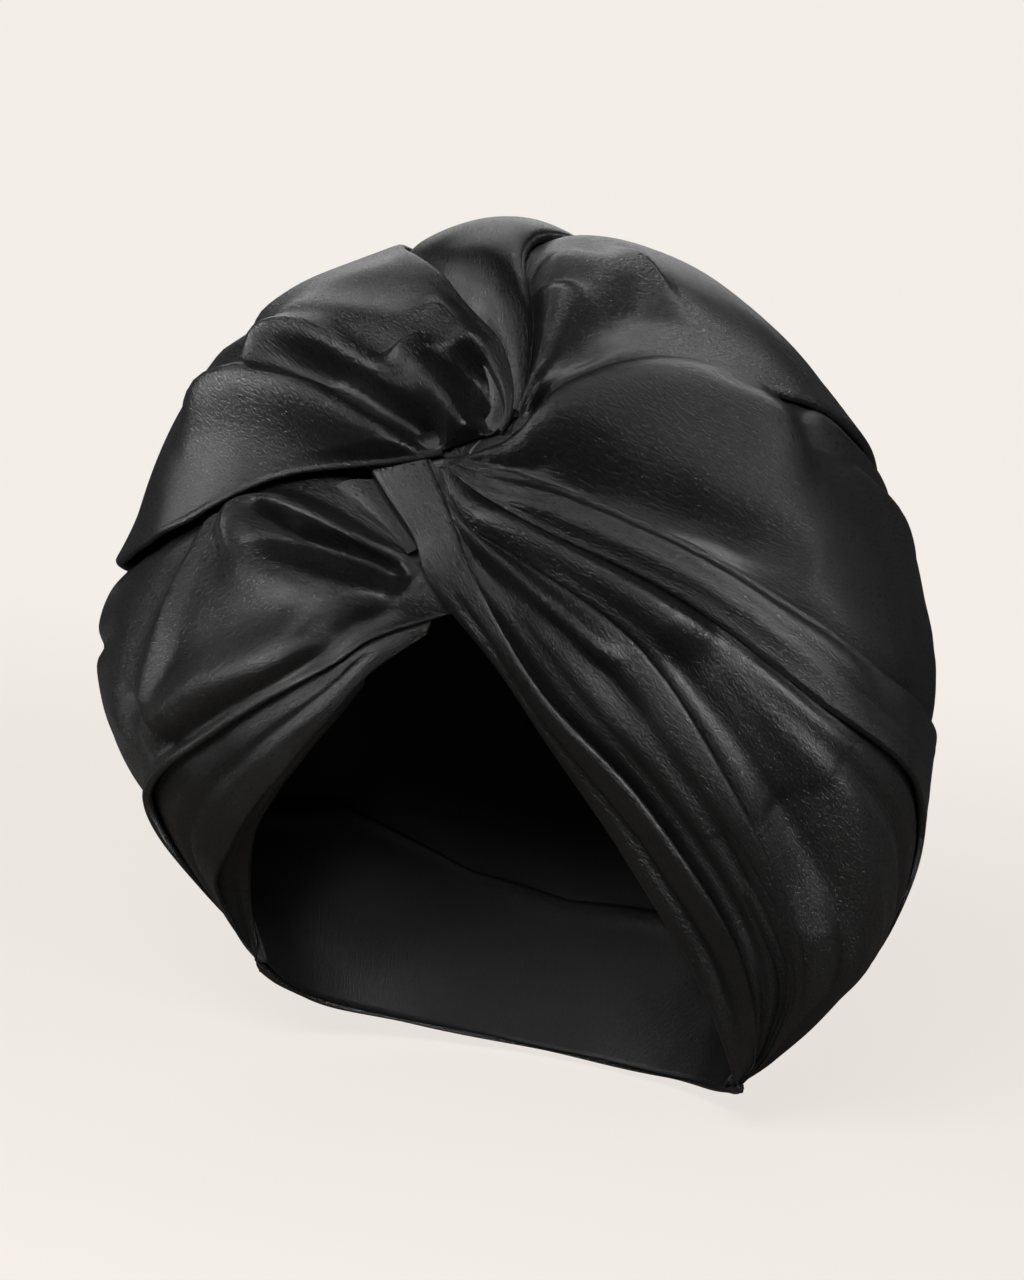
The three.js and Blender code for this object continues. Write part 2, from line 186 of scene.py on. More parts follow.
# Dents and ridges: the piece they are on, the line they follow, how far they spread to each side of
# it in degrees, and how far they rise or sink in millimetres.
RELIEF = [
    # the finger dent beside the twist, with a rolled lip on each side
    dict(on="upper_wrap", line=[(1.5, 55), (5.4, 52), (9.6, 48.4), (12.8, 44.4), (15, 40.5)],
         wide=(2.6, 2.5), rise=-18),
    dict(on="upper_wrap", line=[(-14, 63), (0, 59), (9, 53), (13.5, 47.5), (15, 43)],
         wide=(2.6, 3.6), rise=6),
    dict(on="upper_wrap", line=[(-9, 53), (-1, 49), (5.4, 45), (10.6, 41)], wide=(3.2, 2.6), rise=8),
    # the wide slope that faces forward between the top crest and the loop
    dict(on="upper_wrap", line=[(-46, 47.5), (-30, 53.4), (-16, 54.4), (-2, 52.4)], wide=(6.5, 3.6), rise=5),
    # the loop that folds back on itself above the lower edge
    dict(on="upper_wrap", line=[(-41, 43), (-38, 47.4), (-30, 50), (-20, 49.4), (-10, 47.4), (0, 44)],
         wide=(2.4, 2.4), rise=8),
    dict(on="upper_wrap", line=[(-35, 45.4), (-26, 47.2), (-18, 46.2), (-10, 44.2), (-3, 42.6), (4, 40.8)],
         wide=(2.0, 2.0), rise=-13),
    dict(on="upper_wrap", line=[(-56, 34), (-40, 41), (-24, 43), (-12, 42), (-1, 39.6)],
         wide=(2.8, 4.6), rise=10),
    # the lower wrap: its dent and ridge by the twist, and the fold turned back beyond them
    dict(on="lower_wrap", line=[(-31, 26.6), (-24, 24.4), (-15, 23.4), (-7, 22.6), (1.5, 20.2)],
         wide=(2.2, 2.4), rise=-15),
    dict(on="lower_wrap", line=[(-34, 20), (-31.5, 26), (-26, 29.4), (-18, 29.6), (-10, 27.8), (-1, 23.8)],
         wide=(2.4, 2.6), rise=9),
    dict(on="lower_wrap", line=[(-34, 20), (-22, 20), (-12, 19.4), (-2, 17.6)], wide=(2.6, 5), rise=4),
    dict(on="lower_wrap", line=[(-36, 29), (-41, 17), (-46.5, 3), (-55, -11)], wide=(2.4, 7), rise=4),
    dict(on="lower_wrap", line=[(-42, 26), (-49, 12), (-56, -1), (-66, -13)], wide=(4, 5.0), rise=-6),
    # the long hollow above the opening, and the lit ridge along it
    dict(on="lower_wrap",
         line=[(1.6, 17), (-8.3, 10.5), (-19.4, 1.6), (-33, -5.5), (-47.6, -13.5), (-59.6, -21)],
         wide=(2.4, 2.4), rise=-6),
    dict(on="lower_wrap", line=[(-6, 16), (-24, 6), (-37.7, -1.5), (-52, -11)], wide=(5, 3.6), rise=7),
    dict(on="lower_wrap", line=[(-56, -16), (-72, -24), (-88, -36)], wide=(3.5, 5), rise=-3),
    # the shoulder's broad swell, whose lower face looks forward, and the hollow under it
    dict(on="shoulder_pleat", line=[(12, 43.6), (26, 48), (40, 49.5), (56, 47), (74, 38)],
         wide=(7, 6), rise=10),
    dict(on="shoulder_pleat", line=[(12, 39.6), (24, 37), (38, 34), (50, 30.6), (66, 24)],
         wide=(3.6, 3.4), rise=-9),
    dict(on="shoulder_pleat", line=[(84, 48), (92, 38), (104, 22)], wide=(6, 6), rise=2),
    dict(on="side_pleat", line=[(11, 36.4), (24, 31.8), (34, 28), (47, 22.4), (60, 15.5), (78, 6)],
         wide=(2.8, 2.8), rise=4),
    # the sides below it
    dict(on="lower_side_pleat", line=[(12, 33.4), (26, 28), (35, 22.5), (50, 13)], wide=(2.6, 3.2), rise=5),
    dict(on="lower_side_pleat", line=[(40, 16), (54, 5), (66, -9), (80, -28)], wide=(3.5, 4.5), rise=-3.5),
    dict(on="lower_side_pleat", line=[(48, 14.5), (66, 1), (82, -16), (98, -38)], wide=(4.5, 4), rise=3.5),
    dict(on="rim_pleat", line=[(6, 32), (18, 25), (26, 18.5), (36, 11)], wide=(2.6, 2.8), rise=5),
    dict(on="rim_pleat", line=[(11, 25), (23, 17.5), (31, 11), (41, 1)], wide=(2, 2), rise=-4),
    # the upper side by the twist and over the top
    dict(on="upper_side_pleat", line=[(19, 49), (28, 55.5), (42, 62.5), (60, 67)], wide=(3.6, 3.2), rise=-6),
    dict(on="upper_side_pleat", line=[(17, 45), (18.4, 54), (18.4, 66)], wide=(3, 4.5), rise=6),
    dict(on="upper_side_pleat", line=[(16, 72), (38, 69), (64, 72)], wide=(4, 4), rise=4),
]

# Creases that run along a pleat: where across it they start and end, over which stretch of its
# length, how wide they are and how far they rise, in millimetres.
CREASES = [
    dict(on="front_rim_band", across=(0.5, 0.4), reach=(0.3, 0.98), wide=1.4, rise=-2.2),
    dict(on="rim_pleat", across=(0.3, 0.35), reach=(0.1, 1.0), wide=2.0, rise=-1.6),
    dict(on="rim_pleat", across=(0.6, 0.7), reach=(0.35, 1.0), wide=2.4, rise=-1.8),
    dict(on="lower_side_pleat", across=(0.3, 0.25), reach=(0.3, 1.0), wide=3.0, rise=-2.0),
    dict(on="lower_side_pleat", across=(0.7, 0.75), reach=(0.55, 1.0), wide=3.5, rise=-2.4),
    dict(on="side_pleat", across=(0.5, 0.4), reach=(0.1, 0.8), wide=2.4, rise=-1.6),
    dict(on="shoulder_pleat", across=(0.3, 0.3), reach=(0.0, 0.35), wide=1.6, rise=-1.6),
    dict(on="shoulder_pleat", across=(0.75, 0.8), reach=(0.5, 1.0), wide=4.0, rise=-2.5),
    dict(on="upper_side_pleat", across=(0.3, 0.4), reach=(0.1, 0.4), wide=1.6, rise=-1.6),
    dict(on="upper_wrap", across=(0.5, 0.35), reach=(0.55, 1.0), wide=4.0, rise=-3.0),
    dict(on="lower_wrap", across=(0.4, 0.3), reach=(0.6, 1.0), wide=3.0, rise=-2.5),
    dict(on="opening_band", across=(0.5, 0.5), reach=(0.15, 1.0), wide=1.6, rise=-1.5),
    dict(on="opening_roll", across=(0.5, 0.5), reach=(0.3, 1.0), wide=1.2, rise=-0.9),
]

LIP = 1.5  # radius of a rolled edge
RIM_LIP = 2.8  # radius of the rolled rim
OVER = 0.8  # how far an overlapping edge stands above its fold line
SINK = -2.9  # how far the neighbour beneath it lies below
FLAP = 6.0  # how far a rolled edge runs back under itself
FACING = 12.0  # how far the rim's facing runs back inside
TUCK = 9.0  # how far a pleat runs on beneath its neighbour
CLOTH = 0.5  # thickness of the satin
HEM_ACROSS = 2.2  # half the hem's thickness
HEM_DOWN = 1.6  # half its height
HEM_TAPER = 0.06  # the share of the hem's length over which each end grows slim
HEM_TIP = 0.02  # the hem's size at its very ends, squared
RIM_THINS, EDGE_THINS = 0.3, 0.8  # how much of its lip a rim, or another edge, loses by the hem
THIN_FROM = 0.72  # where along a pleat that starts
ALONG = 200  # steps along a pleat


def direction(around, up):
    a, b = np.radians(around), np.radians(up)
    return np.stack([np.cos(b) * np.sin(a), -np.cos(b) * np.cos(a), np.sin(b)], -1)


def unit(v):
    return v / np.linalg.norm(v, axis=-1, keepdims=True)


def between(p, t):
    """A smooth value through four evenly spaced ones, at share t between the second and the third."""
    bend = 2 * p[0] - 5 * p[1] + 4 * p[2] - p[3]
    twist = 3 * p[1] - p[0] - 3 * p[2] + p[3]
    return 0.5 * (2 * p[1] + (p[2] - p[0]) * t + bend * t * t + twist * t**3)


def ball_size(around, column):
    values = np.array([row[column] for row in BALL], float)
    place = (around + 180) / (360 / len(BALL))
    row = np.floor(place).astype(int)
    return between([values[(row + k) % len(BALL)] for k in (-1, 0, 1, 2)], place - row)


def ball_radius(way):
    around = np.degrees(np.arctan2(way[..., 0], -way[..., 1]))
    flat = np.hypot(way[..., 0], way[..., 1]) / ball_size(around, "reach")
    tall = way[..., 2] / np.where(way[..., 2] > 0, ball_size(around, "top"), ball_size(around, "bottom"))
    radius = 1 / np.hypot(flat, tall)
    for swell in SWELLS:
        off = np.degrees(np.arccos(np.clip(way @ direction(*swell["at"]), -1, 1))) / swell["wide"]
        radius = radius + swell["rise"] * np.exp(-off * off)
    return radius


def ball_point(way, share):
    return CENTRE + way * (ball_radius(way) * share)[..., None]


def along(stations, t):
    """Directions and shares along a fold line, t from 0 at the twist to 1 at its end."""
    rows = np.array([[*direction(a, b), share] for a, b, share in stations])
    place = np.minimum(t, 0.99999) * (len(rows) - 1)
    first = np.floor(place).astype(int)
    picked = [rows[np.clip(first + k, 0, len(rows) - 1)] for k in (-1, 0, 1, 2)]
    mixed = between(picked, (place - first)[:, None])
    return unit(mixed[:, :3]), mixed[:, 3]


def fold_points(name, t):
    return ball_point(*along(FOLDS[name], t))


def fold_frame(name, t):
    """The way out of the cloth and the way across it, at each place along a fold line."""
    if name.startswith("tail"):
        before, after = "tail_lower", "tail_upper"
    else:
        place = ORDER.index("upper_to_lower_wrap" if name == "lower_wrap_top" else name)
        before, after = ORDER[max(place - 1, 0)], ORDER[min(place + 1, len(ORDER) - 1)]
    step = 0.02
    ahead = fold_points(name, np.minimum(t + step, 1)) - fold_points(name, np.maximum(t - step, 0))
    across = fold_points(after, t) - fold_points(before, t)
    normal = unit(np.cross(ahead, across))
    return normal, unit(np.cross(normal, ahead))


def hem_points(around):
    """The middle of the hem at angles round the nape, counted down from the wearer's right."""
    rows = HEM[::-1]
    up = np.interp(around, [row[0] for row in rows], [row[1] for row in rows])
    share = np.interp(around, [row[0] for row in rows], [row[2] for row in rows])
    return ball_point(direction(around, up), share)


def smooth(x):
    x = np.clip(x, 0, 1)
    return x * x * (3 - 2 * x)


# ---------------------------------------------------------------- relief of the cloth


def line_ways(line, count=240):
    rows = np.array([direction(a, b) for a, b in line])
    place = np.linspace(0, 0.99999, count) * (len(rows) - 1)
    first = np.floor(place).astype(int)
    picked = [rows[np.clip(first + k, 0, len(rows) - 1)] for k in (-1, 0, 1, 2)]
    return unit(between(picked, (place - first)[:, None]))


def relief(piece, way):
    """Dents and ridges of one piece, in millimetres, at each direction."""
    flat = way.reshape(-1, 3)
    total = np.zeros(len(flat))
    for row in RELIEF:
        if row["on"] != piece:
            continue
        ways = line_ways(row["line"])
        nearness = flat @ ways.T
        nearest = nearness.argmax(1)
        distance = np.degrees(np.arccos(np.clip(nearness.max(1), -1, 1)))
        tangent = unit(np.gradient(ways, axis=0))[nearest]
        side = np.einsum("ij,ij->i", np.cross(ways[nearest], tangent), flat - ways[nearest])
        lean = smooth(0.5 + side / 0.04)  # the spread changes gently from one side of the line to the other
        wide = row["wide"][1] + (row["wide"][0] - row["wide"][1]) * lean
        place = nearest / (len(ways) - 1)
        fade = smooth(place / 0.22 + 0.1) * smooth((1 - place) / 0.22 + 0.1)
        total += fade * row["rise"] * np.exp(-((distance / wide) ** 2))
    return total.reshape(way.shape[:-1])


def creases(piece, t, u, width):
    """The creases along a pleat, in millimetres."""
    total = np.zeros(np.broadcast(t, u).shape)
    for row in CREASES:
        if row["on"] != piece:
            continue
        first, last = row["reach"]
        middle = row["across"][0] + (row["across"][1] - row["across"][0]) * t
        fade = smooth((t - first) / 0.1) * (1 if last >= 1 else smooth((last - t) / 0.15))
        total = total + fade * row["rise"] * np.exp(-(((u - middle) * width / row["wide"]) ** 2))
    return total


def waves(points, count, length, height, seed):
    """Soft unevenness: a sum of plane waves through space, the same for every piece."""
    chance = np.random.default_rng(seed)
    total = np.zeros(points.shape[:-1])
    for _ in range(count):
        heading = unit(chance.normal(size=3))
        pitch = length * chance.uniform(0.6, 1.6)
        total += np.sin(points @ heading * (2 * math.pi / pitch) + chance.uniform(0, 2 * math.pi))
    return total * height / math.sqrt(count)


def tension(t, u, width, strength, seed):
    """Pull lines that run along a pleat and fade away from the twist."""
    chance = np.random.default_rng(seed)
    total = np.zeros(np.broadcast(t, u).shape)
    for k in (1, 2, 3):
        phase = chance.uniform(0, 2 * math.pi)
        drift = chance.uniform(-0.5, 0.5)
        fade = np.exp(-((t * chance.uniform(1.5, 4.0)) ** 2))
        total = total + 0.8 * fade / k * np.sin(2 * math.pi * k * (u + drift * t) + phase)
    wander = u * width.max() + 5 * np.sin(u * 7 + chance.uniform(0, 6)) + 2.5 * np.sin(u * 19 + 3 * t)
    gather = np.sin(2 * math.pi * wander / 11) + 0.6 * np.sin(2 * math.pi * wander / 23 + 2)
    gather = gather * smooth((t - THIN_FROM - 0.08 * np.sin(u * 13)) / 0.24)
    return strength * np.minimum(width / 18, 1) * (total + gather)


# ---------------------------------------------------------------- meshes


def grid_mesh(name, points, uv, closed=False):
    """A sheet of quads through a grid of points in millimetres, with a UV map in metres."""
    rows, columns = points.shape[:2]
    index = np.arange(rows * columns).reshape(rows, columns)
    if closed:
        index = np.concatenate([index, index[:, :1]], 1)
        uv = np.concatenate([uv, 2 * uv[:, -1:] - uv[:, -2:-1]], 1)
    quads = np.stack([index[:-1, :-1], index[1:, :-1], index[1:, 1:], index[:-1, 1:]], -1).reshape(-1, 4)
    mesh = bpy.data.meshes.new(name)
    mesh.from_pydata((points.reshape(-1, 3) * MM).tolist(), [], quads.tolist())
    corners = np.stack([uv[:-1, :-1], uv[1:, :-1], uv[1:, 1:], uv[:-1, 1:]], 2).reshape(-1, 2)
    mesh.uv_layers.new(name="cloth").data.foreach_set("uv", corners.ravel())
    mesh.shade_smooth()
    piece = bpy.data.objects.new(name, mesh)
    bpy.context.scene.collection.objects.link(piece)
    return piece


def close_ends(piece, only_small=False):
    """Closes a tube's ends, or a dome's pole, and turns the faces outwards from one another."""
    work = bmesh.new()
    work.from_mesh(piece.data)
    rims = [edge for edge in work.edges if edge.is_boundary]
    if only_small:
        rims = [edge for edge in rims if edge.calc_length() < 0.0005]
    bmesh.ops.holes_fill(work, edges=rims, sides=400)
    bmesh.ops.recalc_face_normals(work, faces=work.faces)
    work.to_mesh(piece.data)
    work.free()


def thicken(piece, thickness):
    wall = piece.modifiers.new("wall", "SOLIDIFY")
    wall.thickness = thickness * MM
    wall.offset = -1
    wall.use_even_offset = False


def edge_columns(kind, sign):
    """The columns beyond a fold line, from the outermost inwards: (millimetres across, height)."""
    if kind == "under":
        spots = [(-TUCK * k, SINK - 0.35 * TUCK * k) for k in (1, 0.75, 0.5, 0.3, 0.15)]
        return [(sign * x, h) for x, h in spots]
    lip, back = (RIM_LIP, FACING) if kind == "rim" else (LIP, FLAP)
    top = OVER if kind == "over" else 0.0
    spots = [(back, top - 2 * lip - 0.1), (back * 0.6, top - 2 * lip), (back * 0.3, top - 2 * lip)]
    for turn in (250, 225, 202, 180, 157, 135, 112):
        bend = math.radians(turn)
        spots.append((lip * (0.25 + math.cos(bend)), top - lip + lip * math.sin(bend)))
    return [(sign * x, h) for x, h in spots]


def sew_into_hem(points, t):
    """Draws the ends of a pleat to the middle of the hem, which they are stitched into."""
    line = hem_points(np.linspace(HEM[-1][0], HEM[0][0], 400))
    last = points[-1]
    nearest = line[((last[:, None] - line[None]) ** 2).sum(-1).argmin(1)]
    draw = smooth((t - 0.965) / 0.035)[..., None]
    return points + (nearest - last)[None] * draw


def pleat(name, spec):
    low, high = spec["folds"]
    steps = ALONG // 4 if name == "twist_tail" else ALONG
    t = np.linspace(spec.get("starts", 0), 1, steps + 1)
    (way_low, share_low), (way_high, share_high) = along(FOLDS[low], t), along(FOLDS[high], t)
    width = np.linalg.norm(ball_point(way_low, share_low) - ball_point(way_high, share_high), axis=1)
    (out_low, over_low), (out_high, over_high) = fold_frame(low, t), fold_frame(high, t)
    inside = int(np.clip(width.max() / 1.6, 14, 56))
    shares = 0.5 - 0.5 * np.cos(np.linspace(0, math.pi, inside + 1))
    shares = 0.35 * shares + 0.65 * np.linspace(0, 1, inside + 1)
    before = edge_columns(spec["edges"][0], 1)
    after = edge_columns(spec["edges"][1], -1)[::-1]
    u = np.concatenate([np.zeros(len(before)), shares, np.ones(len(after))])
    slide = np.concatenate([[x for x, _ in before], np.zeros(inside + 1), [x for x, _ in after]])
    height = np.concatenate([[h for _, h in before], np.zeros(inside + 1), [h for _, h in after]])
    interior = (height == 0) & (slide == 0)

    T, U, W = t[:, None], u[None, :], width[:, None]
    rolled = [spec["edges"][0] == "rim"] * len(before) + [False] * (inside + 1)
    rolled = np.array(rolled + [spec["edges"][1] == "rim"] * len(after))
    thinned = np.where(rolled, RIM_THINS, EDGE_THINS)[None, :]
    # edges are slim where a pleat starts narrow, and again as it nears the hem
    near = smooth(W / 16) * (1 - thinned * smooth((T - THIN_FROM) / 0.26))
    level = dict(over=OVER, under=SINK, rim=0.0)
    spread = np.minimum(6.0, W / 4)
    edge = level[spec["edges"][0]] * np.exp(-((U * W / spread) ** 1.5))
    edge = edge + level[spec["edges"][1]] * np.exp(-(((1 - U) * W / spread) ** 1.5))
    skew = math.log(0.5) / math.log(spec["peak"])
    rise = spec["puff"] * np.sin(math.pi * np.minimum(1, T * 1.4)) ** 0.6 * np.minimum(1, W / 20)
    lift = np.where(interior, edge, height) * near + rise * np.sin(math.pi * U**skew)

    way = unit(way_low[:, None] * (1 - U[..., None]) + way_high[:, None] * U[..., None])
    share = share_low[:, None] * (1 - U) + share_high[:, None] * U
    normal = unit(out_low[:, None] * (1 - U[..., None]) + out_high[:, None] * U[..., None])
    across = unit(over_low[:, None] * (1 - U[..., None]) + over_high[:, None] * U[..., None])
    base = ball_point(way, share)
    to_edge = np.minimum(U, 1 - U) * W
    held = smooth(to_edge / np.minimum(6, W / 3)) * smooth((T - t[0]) / 0.04)
    seed = SEED + sorted(PLEATS).index(name)
    pulls = tension(T, U, W, spec["wrinkles"], seed)
    lift = lift + held * (relief(name, way) + creases(name, T, U, W) + pulls)
    lift = lift + waves(base, 8, 38, 0.5, SEED)
    points = base + across * (slide * near)[..., None] + normal * lift[..., None]
    if name != "twist_tail":
        points = sew_into_hem(points, T)

    lengths = np.linalg.norm(np.diff(base[:, len(u) // 2], axis=0), axis=1)
    run = np.concatenate([[0], np.cumsum(lengths)])
    uv = np.stack([(U * W + slide) * MM, np.broadcast_to(run[:, None], lift.shape) * MM], -1)
    piece = grid_mesh(name + "_cloth", points, uv)
    thicken(piece, CLOTH)
    return piece


# ---------------------------------------------------------------- materials


def node(tree, kind, **values):
    made = tree.nodes.new(kind)
    for key, value in values.items():
        setattr(made, key, value)
    return made


def twist_heart():
    """The gathered cloth at the bottom of the twist, which the starts of the pleats lie on."""
    turn = np.linspace(0, 2 * math.pi, 73)[:-1][None]
    out = np.linspace(0.02, 1, 24)[:, None]
    middle = direction(6.5, 40.3)
    side = unit(np.cross([0.0, 0.0, 1.0], middle))
    above = np.cross(middle, side)
    reach = 0.13 * out[..., None]
    spread = np.cos(turn)[..., None] * side + 0.7 * np.sin(turn)[..., None] * above
    way = unit(middle + reach * spread)
    lift = -2.6 - 3.5 * out**2 + 0.8 * out * np.sin(9 * turn + 5 * out)
    points = ball_point(way, np.ones(way.shape[:-1])) + way * lift[..., None]
    uv = np.stack(np.broadcast_arrays(turn * 0.004, out * 0.014), -1)
    piece = grid_mesh("twist_heart", points, uv, closed=True)
    close_ends(piece, only_small=True)
    return piece


def cloth_grain_group():
    """Fine crepe crinkle and weave, read from the cloth's own UV map in metres."""
    group = bpy.data.node_groups.new("cloth_grain", "ShaderNodeTree")
    face = group.interface
    for label, value in (("Crinkle per metre", 1700.0), ("Stretch", 0.35), ("Weave per metre", 2600.0)):
        face.new_socket(label, in_out="INPUT", socket_type="NodeSocketFloat").default_value = value
    face.new_socket("Height", in_out="OUTPUT", socket_type="NodeSocketFloat")
    face.new_socket("Tone", in_out="OUTPUT", socket_type="NodeSocketFloat")
    given = node(group, "NodeGroupInput")
    out = node(group, "NodeGroupOutput")
    uv = node(group, "ShaderNodeUVMap", uv_map="cloth")
    link = group.links.new

    stretch = node(group, "ShaderNodeCombineXYZ")
    stretch.inputs["X"].default_value = 1.0
    link(given.outputs["Stretch"], stretch.inputs["Y"])
    laid = node(group, "ShaderNodeVectorMath", operation="MULTIPLY")
    link(uv.outputs["UV"], laid.inputs[0])
    link(stretch.outputs["Vector"], laid.inputs[1])
    crinkle = node(group, "ShaderNodeTexNoise")
    crinkle.inputs["Detail"].default_value = 4.0
    crinkle.inputs["Roughness"].default_value = 0.62
    crinkle.inputs["Distortion"].default_value = 0.5
    link(laid.outputs["Vector"], crinkle.inputs["Vector"])
    link(given.outputs["Crinkle per metre"], crinkle.inputs["Scale"])
    weave = node(group, "ShaderNodeTexWave", bands_direction="DIAGONAL")
    weave.inputs["Distortion"].default_value = 1.5
    link(uv.outputs["UV"], weave.inputs["Vector"])
    link(given.outputs["Weave per metre"], weave.inputs["Scale"])
    mixed = node(group, "ShaderNodeMath", operation="MULTIPLY_ADD")
    link(weave.outputs["Fac"], mixed.inputs[0])
    mixed.inputs[1].default_value = 0.12
    link(crinkle.outputs["Fac"], mixed.inputs[2])
    link(mixed.outputs["Value"], out.inputs["Height"])
    cloud = node(group, "ShaderNodeTexNoise")
    cloud.inputs["Scale"].default_value = 60.0
    cloud.inputs["Detail"].default_value = 4.0
    link(uv.outputs["UV"], cloud.inputs["Vector"])
    link(cloud.outputs["Fac"], out.inputs["Tone"])
    return group


def cloth_material(name, group, dark, light, roughness, bump, shine):
    material = bpy.data.materials.new(name)
    material.use_nodes = True
    tree = material.node_tree
    link = tree.links.new
    shader = tree.nodes["Principled BSDF"]
    grain = node(tree, "ShaderNodeGroup")
    grain.node_tree = group
    colour = node(tree, "ShaderNodeMix", data_type="RGBA")
    colour.inputs["A"].default_value = (*dark, 1)
    colour.inputs["B"].default_value = (*light, 1)
    link(grain.outputs["Tone"], colour.inputs["Factor"])
    link(colour.outputs["Result"], shader.inputs["Base Color"])
    gloss = node(tree, "ShaderNodeMapRange")
    gloss.inputs["From Min"].default_value = 0.3
    gloss.inputs["From Max"].default_value = 0.8
    gloss.inputs["To Min"].default_value = roughness[0]
    gloss.inputs["To Max"].default_value = roughness[1]
    link(grain.outputs["Height"], gloss.inputs["Value"])
    link(gloss.outputs["Result"], shader.inputs["Roughness"])
    lumps = node(tree, "ShaderNodeBump")
    lumps.inputs["Strength"].default_value = bump
    lumps.inputs["Distance"].default_value = 0.0008
    link(grain.outputs["Height"], lumps.inputs["Height"])
    link(lumps.outputs["Normal"], shader.inputs["Normal"])
    shader.inputs["Specular IOR Level"].default_value = shine
    return material


# ---------------------------------------------------------------- lining and hem

LINING_EDGE = [
    dict(around=-180, up=-39.5, share=0.93),
    dict(around=-160, up=-37.5, share=0.93),
    dict(around=-135, up=-30, share=0.93),
    dict(around=-105, up=-31, share=0.88),
    dict(around=-90, up=-26, share=0.86),
    dict(around=-60, up=-6, share=0.86),
    dict(around=-30, up=16, share=0.88),
    dict(around=0, up=44, share=0.9),
    dict(around=30, up=28, share=0.9),
    dict(around=60, up=5, share=0.9),
    dict(around=90, up=-24, share=0.87),
    dict(around=105, up=-35, share=0.88),
    dict(around=135, up=-37, share=0.93),
    dict(around=180, up=-39.5, share=0.93),
]
LINING_POLE = (180, 62)
LINING_DEPTH = 5.5  # how far the lining lies in from the cloth at its crown
BAND_FRONT = 93  # where the seam runs under the rim's facing
BAND_INSET = 3.0  # how far the band lies in from the hem and the seam
BAND_CORNER = 10  # over how many degrees that fades at the band's front corners
SEAM_ROLL = 1.4  # how far the band's folded top edge sinks into the seam


def edge_at(table, around, column):
    turned = (around + 180) % 360 - 180
    return np.interp(turned, [row["around"] for row in table], [row[column] for row in table])


def lining_crown():
    around = np.linspace(-180, 180, 181)[:-1]
    out = np.linspace(0.01, 1, 60)
    pole = direction(*LINING_POLE)
    edge = direction(around, edge_at(LINING_EDGE, around, "up"))
    angle = np.arccos(np.clip(edge @ pole, -1, 1))[None, :, None]
    run = out[:, None, None]
    way = unit((np.sin((1 - run) * angle) * pole + np.sin(run * angle) * edge[None]) / np.sin(angle))
    share = 1 + (edge_at(LINING_EDGE, around, "share")[None] - 1) * out[:, None] ** 2
    radius = ball_radius(way) * share - LINING_DEPTH * (1 - out[:, None] ** 2)
    base = CENTRE + way * radius[..., None]
    dents = np.minimum(np.minimum(relief("upper_wrap", way), relief("shoulder_pleat", way)), 0)
    folds = waves(base, 10, 60, 0.9, SEED + 50) + 0.8 * dents
    folds = folds + 1.1 * np.sin(np.radians(around)[None] * 11 + 2 * out[:, None]) * out[:, None] ** 2
    points = base + way * (folds - 1.2)[..., None]
    across = np.broadcast_to(around[None] * 2.0 * MM, share.shape)
    down = np.broadcast_to(out[:, None] * 0.2, share.shape)
    piece = grid_mesh("lining_crown_cloth", points[::-1], np.stack([across, down], -1)[::-1], closed=True)
    close_ends(piece, only_small=True)
    return piece


def lining_band():
    around = -BAND_FRONT - np.linspace(0, 360 - 2 * BAND_FRONT, 181)
    down = np.linspace(-0.1, 1, 32)
    way = direction(around, edge_at(LINING_EDGE, around, "up"))
    top = ball_point(way, edge_at(LINING_EDGE, around, "share"))
    bottom = hem_points(np.clip(around, HEM[-1][0], HEM[0][0]))
    straight = top[:, None] + (bottom - top)[:, None] * down[:, None]
    outward = unit((straight - CENTRE) * [1, 1, 0])
    bulge = 1.5 * np.sin(math.pi * np.clip(down, 0, 1)) + waves(straight, 8, 40, 0.5, SEED + 60)
    bulge = bulge - SEAM_ROLL * np.exp(-(((down + 0.03) / 0.06) ** 2))[None]
    past = np.abs(around + 180) - (180 - BAND_FRONT) + BAND_CORNER
    corner = smooth(past / BAND_CORNER)[:, None] * np.clip(down, 0, 1)[None]
    points = straight + outward * (bulge - BAND_INSET * (1 - 0.9 * corner))[..., None]
    uv = np.stack([np.broadcast_to(around[:, None] * 2.0 * MM, bulge.shape), down * 0.05 + 0 * bulge], -1)
    return grid_mesh("lining_band_cloth", points, uv)


def hem_line():
    """The middle of the hem and the ways out and down from it, which shrink towards its ends."""
    t = np.linspace(0.015, 0.985, 161)
    middle = ball_point(*along(HEM, t))
    ahead = unit(np.gradient(middle, axis=0))
    outward = unit((middle - CENTRE) * [1, 1, 0])
    outward = unit(outward - ahead * np.einsum("ij,ij->i", outward, ahead)[:, None])
    share = np.linspace(0, 1, len(middle))
    slim = np.sqrt(np.clip(np.minimum(share, 1 - share) / HEM_TAPER, HEM_TIP, 1))[:, None]
    return middle, slim * outward, slim * np.cross(ahead, outward)


def nape_hem():
    middle, outward, down = hem_line()
    turn = np.linspace(0, 2 * math.pi, 17)[:-1][None, :, None]
    ring = np.cos(turn) * HEM_ACROSS * outward[:, None] + np.sin(turn) * HEM_DOWN * down[:, None]
    points = middle[:, None] + ring
    run = np.concatenate([[0], np.cumsum(np.linalg.norm(np.diff(middle, axis=0), axis=1))])
    uv = np.stack(np.broadcast_arrays(turn[..., 0] * 2 * MM, run[:, None] * MM), -1)
    piece = grid_mesh("nape_hem_cloth", points, uv, closed=True)
    close_ends(piece)
    return piece


